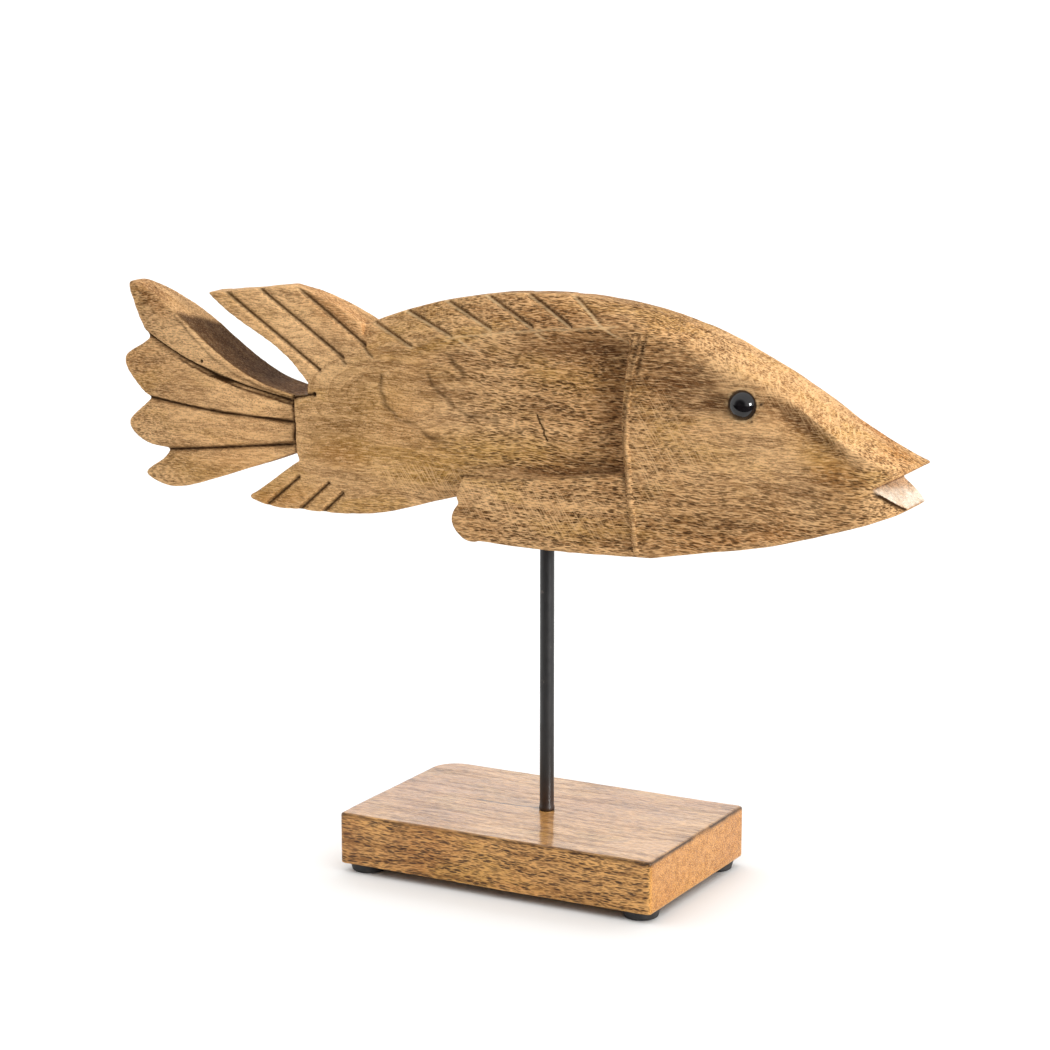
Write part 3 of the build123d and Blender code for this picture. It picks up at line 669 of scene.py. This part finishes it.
# Blackened iron: round bar under a dark oxide skin, a dull satin black that turns rust brown at its foot
ironLook = {
    "dark": "#0b0a0b", "light": "#181616", "rust": "#3d2617", "bare": "#7a6e64", "cloud": 6.0,
    "rustFrom": 36.0, "rustTo": 58.0, "rustWander": 24.0, "rustStrength": 0.85,
    "roughness": (0.34, 0.52), "ior": 1.5, "bump": 0.08,
}


def blackenedIron():
    look = ironLook
    material, tree, shader = newMaterial("blackenedIron")
    place = addNode(tree, "TexCoord", out="Object")
    cloudInputs = {"Vector": place, "Scale": 1 / (look["cloud"] * mm), "Detail": 6, "Roughness": 0.65}
    cloud = addNode(tree, "TexNoise", cloudInputs)
    lift = addNode(tree, "Math", [cloud, look["rustWander"] * mm], operation="MULTIPLY")
    high = addNode(tree, "Math", [addNode(tree, "SeparateXYZ", [place], "Z"), lift], operation="ADD")
    low, top = look["rustFrom"] * mm, look["rustTo"] * mm
    foot = addNode(tree, "MapRange", [high, low, top, look["rustStrength"], 0.0], **softStep)
    amount = addNode(tree, "MapRange", [cloud, 0.3, 0.7, 0.0, 1.0], **softStep)
    colour = addNode(tree, "Mix", {0: amount, 6: look["dark"], 7: look["light"]}, 2, **colourMix)
    amount = addNode(tree, "MapRange", [cloud, 0.35, 0.65, 0.4, 1.0], **softStep)
    amount = addNode(tree, "Math", [amount, foot], operation="MULTIPLY")
    colour = addNode(tree, "Mix", {0: amount, 6: colour, 7: look["rust"]}, 2, **colourMix)
    amount = addNode(tree, "MapRange", [cloud, 0.64, 0.70, 0.0, 0.3], **softStep)
    colour = addNode(tree, "Mix", {0: amount, 6: colour, 7: look["bare"]}, 2, **colourMix)
    rough = addNode(tree, "MapRange", [cloud, 0.3, 0.7, *look["roughness"]], **softStep)
    bump = addNode(tree, "Bump", {"Height": cloud, "Distance": look["bump"] * mm, "Strength": 0.7})
    tree.links.new(colour, shader["Base Color"])
    tree.links.new(rough, shader["Roughness"])
    tree.links.new(bump, shader["Normal"])
    shader["IOR"].default_value = look["ior"]
    return material


rodLook = {
    "radius": 3.0, "stud": 2.5, "thread": 0.8, "threadDepth": 0.4, "threadEnd": 1.2,
    "collar": 0.25, "collarFrom": 0.4, "collarTo": 1.6, "collarEnd": 2.4,
    "wander": 0.03, "wanderSize": 5.0, "tip": 0.6, "tipRoom": 0.8, "steps": 60, "segments": 48,
}


def standRod():
    look = rodLook
    low, high = boxOf("stand_rod")
    top = boxOf("base_block")[1].z
    radius, stud, wide = look["radius"], look["stud"], look["radius"] + look["collar"]
    profile = [(0, low.z)]
    turns = int((top - low.z - look["threadEnd"]) / look["thread"])
    for i in range(turns):  # the threaded end that goes through the base
        z = low.z + look["thread"] * i
        profile += [(stud - look["threadDepth"], z), (stud, z + look["thread"] / 2)]
    plain = top + look["collarEnd"]
    profile += [(stud, top), (radius, top + 0.01), (wide, top + look["collarFrom"])]
    profile += [(wide, top + look["collarTo"]), (radius, plain)]
    for i in range(1, look["steps"]):
        z = plain + (high.z - look["tipRoom"] - plain) * i / look["steps"]
        profile.append((radius + look["wander"] * noise.noise(Vector((0, 0, z / look["wanderSize"]))), z))
    profile += [(radius, high.z - look["tip"]), (radius - look["tip"], high.z), (0, high.z)]
    return spin(profile, look["segments"], ((low.x + high.x) / 2, 0, 0))


newPiece("standRod", standRod(), blackenedIron(), "stand", "black_iron", "stand_rod")

# Black enamel on a domed nail: a hard mirror gloss
enamelLook = {
    "dark": "#0b0a0b", "light": "#171416", "grain": 3.0, "detail": 2, "lightFrom": (0.3, 0.7),
    "roughness": (0.04, 0.09), "ior": 1.5, "bump": 0.02, "bumpStrength": 0.5,
}
# Black rubber: moulded, matt, a little dusty
rubberLook = {
    "dark": "#191818", "light": "#343130", "grain": 2.5, "detail": 5, "lightFrom": (0.4, 0.75),
    "roughness": (0.55, 0.8), "ior": 1.52, "bump": 0.05, "bumpStrength": 0.6,
}


def blackSkin(name, look):
    material, tree, shader = newMaterial(name)
    place = addNode(tree, "TexCoord", out="Object")
    grainInputs = {"Vector": place, "Scale": 1 / (look["grain"] * mm), "Detail": look["detail"]}
    grain = addNode(tree, "TexNoise", grainInputs)
    amount = addNode(tree, "MapRange", [grain, *look["lightFrom"], 0.0, 1.0], **softStep)
    colour = addNode(tree, "Mix", {0: amount, 6: look["dark"], 7: look["light"]}, 2, **colourMix)
    rough = addNode(tree, "MapRange", [grain, 0.3, 0.7, *look["roughness"]], **softStep)
    bumpInputs = {"Height": grain, "Distance": look["bump"] * mm, "Strength": look["bumpStrength"]}
    tree.links.new(colour, shader["Base Color"])
    tree.links.new(rough, shader["Roughness"])
    tree.links.new(addNode(tree, "Bump", bumpInputs), shader["Normal"])
    shader["IOR"].default_value = look["ior"]
    return material


enamel = blackSkin("blackEnamel", enamelLook)
eyeLook = {"seatUnderBead": 1.7, "rim": 0.25, "shank": 1.2, "point": 3.0, "segments": 64, "steps": 14}


def nailEye(node, outward):
    look = eyeLook
    low, high = boxOf(node)
    radius = (high.x - low.x) / 2
    seat = boxOf("fish_carving")[1].y - look["seatUnderBead"]
    tip, crown = sorted((abs(low.y), abs(high.y)))
    dome = crown - seat
    shank = look["shank"]
    profile = [(0, tip), (shank, tip + look["point"]), (shank, seat), (radius - look["rim"], seat)]
    ball = (radius ** 2 + dome ** 2) / (2 * dome)
    steep = math.asin(radius / ball)
    for i in range(look["steps"]):
        a = steep * (1 - i / look["steps"])
        profile.append((ball * math.sin(a), crown - ball + ball * math.cos(a)))
    profile.append((0, crown))
    place = ((low.x + high.x) / 2, 0, (low.z + high.z) / 2)
    return spin(profile, look["segments"], place, (0, outward, 0))


for node, outward in (("left_eye", 1), ("right_eye", -1)):
    newPiece(node.split("_")[0] + "NailEye", nailEye(node, outward), enamel, "fish", "eye_black", node)

rubber = blackSkin("mouldedRubber", rubberLook)
footLook = {
    "round": 0.9, "roundSteps": 6, "taper": 0.8, "dish": 0.3, "dishRim": 1.6, "lip": 0.6, "lipOut": 0.2,
    "topEdge": 0.1, "segments": 64,
}


def rubberFoot(node):
    look = footLook
    low, high = boxOf(node)
    radius = (high.x - low.x) / 2
    tall = high.z - low.z
    lower = radius - look["taper"]
    rim = lower - look["dishRim"]
    dish, lip, soft = look["dish"], look["lip"], look["topEdge"]
    profile = [(0, dish), (rim - dish * 2, dish), (rim, 0)]
    for i in range(look["roundSteps"] + 1):
        a = math.pi / 2 * i / look["roundSteps"]
        profile.append((lower - look["round"] * (1 - math.sin(a)), look["round"] * (1 - math.cos(a))))
    profile += [(radius - look["lipOut"], tall - 1.5 * lip), (radius, tall - lip), (radius, tall - soft)]
    profile += [(radius - soft, tall), (0, tall)]
    return spin(profile, look["segments"], ((low.x + high.x) / 2, (low.y + high.y) / 2, low.z))


for node in ("front_left_foot", "front_right_foot", "rear_left_foot", "rear_right_foot"):
    end, hand, _ = node.split("_")
    newPiece(end + hand.title() + "Foot", rubberFoot(node), rubber, "stand", "foot_rubber", node)

# Zinc-plated steel: pale grey with a faint cloudy spangle
zincLook = {"pale": "#b9bab8", "dull": "#8f918f", "spangle": 1.5, "roughness": (0.28, 0.45)}


def zincSteel():
    look = zincLook
    material, tree, shader = newMaterial("zincSteel")
    place = addNode(tree, "TexCoord", out="Object")
    spangle = addNode(tree, "TexVoronoi", {"Vector": place, "Scale": 1 / (look["spangle"] * mm)})
    colour = addNode(tree, "Mix", {0: spangle, 6: look["pale"], 7: look["dull"]}, 2, **colourMix)
    rough = addNode(tree, "MapRange", [spangle, 0.1, 0.7, *look["roughness"]])
    tree.links.new(colour, shader["Base Color"])
    tree.links.new(rough, shader["Roughness"])
    shader["Metallic"].default_value = 1.0
    return material


zinc = zincSteel()
nutLook = {"hole": 2.55, "chamfer": 0.55, "flats": 8.0, "face": 0.94, "around": 72}


def hexNut():
    look = nutLook
    low, high = boxOf("rod_nut")
    tall = high.z - low.z
    flat = look["flats"] / 2
    hole, face, around = look["hole"], look["face"] * flat, look["around"]
    sixth = math.pi / 3
    nut = bmesh.new()
    rings = [[] for _ in range(6)]
    for i in range(around):
        a = 2 * math.pi * i / around
        outer = flat / math.cos((a + sixth / 2) % sixth - sixth / 2)
        cut = (outer - flat) * look["chamfer"]
        shape = [(hole, 0), (face, 0), (outer, cut), (outer, tall - cut), (face, tall), (hole, tall)]
        for ring, (r, z) in zip(rings, shape):
            ring.append(nut.verts.new((r * math.cos(a) * mm, r * math.sin(a) * mm, (low.z + z) * mm)))
    for ring, after in zip(rings, rings[1:] + rings[:1]):
        for i in range(around):
            j = (i + 1) % around
            nut.faces.new((ring[i], ring[j], after[j], after[i]))
    bmesh.ops.translate(nut, vec=((low.x + high.x) / 2 * mm, 0, 0), verts=nut.verts)
    bmesh.ops.recalc_face_normals(nut, faces=nut.faces)
    mesh = bpy.data.meshes.new("nut")
    nut.to_mesh(mesh)
    nut.free()
    return mesh


washerLook = {"hole": 2.55, "soft": 0.15, "segments": 64}


def plainWasher():
    look = washerLook
    low, high = boxOf("rod_washer")
    outer, inner, soft = (high.x - low.x) / 2, look["hole"], look["soft"]
    profile = [
        (inner, low.z + soft), (inner + soft, low.z), (outer - soft, low.z), (outer, low.z + soft),
        (outer, high.z - soft), (outer - soft, high.z), (inner + soft, high.z), (inner, high.z - soft),
        (inner, low.z + soft),
    ]
    return spin(profile, look["segments"], ((low.x + high.x) / 2, 0, 0))


newPiece("rodNut", hexNut(), zinc, "stand", "zinc_steel", "rod_nut")
newPiece("rodWasher", plainWasher(), zinc, "stand", "zinc_steel", "rod_washer")
print("rod, eyes, feet and fasteners made")

# Camera at the photograph's view, places in millimetres
cameraLook = {
    "place": (626.2, -1142.9, 424.9), "target": (23.0, -23.9, 153.1),
    "lens": 109.95, "sensor": 36, "clip": 50,
}


def aimed(thing, target):  # turns a camera or a lamp to a place
    thing.rotation_mode = "QUATERNION"
    thing.rotation_quaternion = (target - thing.location).to_track_quat("-Z", "Y")
    bpy.context.scene.collection.objects.link(thing)


cameraData = bpy.data.cameras.new("camera")
cameraData.lens = cameraLook["lens"]
cameraData.sensor_width = cameraLook["sensor"]
cameraData.clip_start = cameraLook["clip"] * mm
camera = bpy.data.objects.new("camera", cameraData)
camera.location = Vector(cameraLook["place"]) * mm
aimed(camera, Vector(cameraLook["target"]) * mm)
bpy.context.scene.camera = camera

# Pale floor in a white studio that is darker in front of the fish, with a low key light from the right
lightLook = {  # places in metres
    "floor": "#e4e4e3", "fleck": "#e8e8e7", "fleckSize": 40.0, "floorReach": 60.0, "floorFront": 0.27,
    "sky": 1.3, "skyInFront": 0.08, "front": (-0.08, -0.99, 0.04), "frontEdge": (0.6, 0.88),
    "under": 0.05, "horizon": (-0.08, 0.04),
    "key": 22.0, "keySize": 0.4, "keyPlace": (1.54, -0.43, 0.46),
    "fill": 0.42, "fillPlace": (0.6, -1.2, 0.35), "top": 1.25, "topPlace": (0.02, 0, 2), "spread": 2.0,
    "aim": (0.02, 0, 0.15),
}
far = lightLook["floorReach"]
floorMesh = bpy.data.meshes.new("floor")
towards = Vector((*cameraLook["place"][:2], 0)).normalized()
aside = Vector((-towards.y, towards.x, 0)) * far
corners = [towards * lightLook["floorFront"] + aside, towards * lightLook["floorFront"] - aside]
corners += [corners[1] - towards * far, corners[0] - towards * far]
floorMesh.from_pydata(corners, [], [(3, 2, 1, 0)])
floor = bpy.data.objects.new("floor", floorMesh)
bpy.context.scene.collection.objects.link(floor)
floor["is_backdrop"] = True
paper, paperTree, paperShader = newMaterial("mattPaper")  # paper board: an even, dull white
fleck = addNode(paperTree, "TexNoise", {"Scale": 1 / (lightLook["fleckSize"] * mm), "Detail": 3})
tone = addNode(paperTree, "Mix", {0: fleck, 6: lightLook["floor"], 7: lightLook["fleck"]}, 2, **colourMix)
paperTree.links.new(tone, paperShader["Base Color"])
paperShader["Roughness"].default_value = 0.9
paperShader["Specular IOR Level"].default_value = 0.1
floorMesh.materials.append(paper)

world = bpy.data.worlds.new("studio")
world.use_nodes = True
sky = world.node_tree
way = addNode(sky, "TexCoord", out="Generated")
facing = addNode(sky, "VectorMath", [way, lightLook["front"]], "Value", operation="DOT_PRODUCT")
glowRange = [facing, *lightLook["frontEdge"], lightLook["sky"], lightLook["skyInFront"]]
glow = addNode(sky, "MapRange", glowRange, **softStep)
level = addNode(sky, "SeparateXYZ", [way], "Z")
level = addNode(sky, "MapRange", [level, *lightLook["horizon"], lightLook["under"], 1.0], **softStep)
glow = addNode(sky, "Math", [glow, level], operation="MULTIPLY")
seen = addNode(sky, "LightPath", out="Is Camera Ray")
glow = addNode(sky, "Mix", {0: seen, 2: glow, 3: 1.0})
sky.nodes["Background"].inputs["Color"].default_value = (1, 1, 1, 1)
sky.links.new(glow, sky.nodes["Background"].inputs["Strength"])
bpy.context.scene.world = world
bpy.context.scene.view_settings.view_transform = "Standard"

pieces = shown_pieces()
matt = [piece for piece in pieces if "Eye" not in piece.name]  # the fill would show as a disc in the eyes
for name, kind, lit in (("key", "AREA", pieces), ("fill", "SUN", matt), ("top", "SUN", [floor])):
    lampData = bpy.data.lights.new(name + "Light", kind)
    lampData.energy = lightLook[name]
    if kind == "AREA":
        lampData.size = lightLook["keySize"]
    else:
        lampData.angle = lightLook["spread"]
    lamp = bpy.data.objects.new(lampData.name, lampData)
    lamp.location = lightLook[name + "Place"]
    aimed(lamp, Vector(lightLook["aim"]))
    receivers = bpy.data.collections.new(lampData.name + "Reach")  # each lamp has its own pieces
    for thing in lit:
        receivers.objects.link(thing)
    lamp.light_linking.receiver_collection = receivers
print("camera, floor and light set")
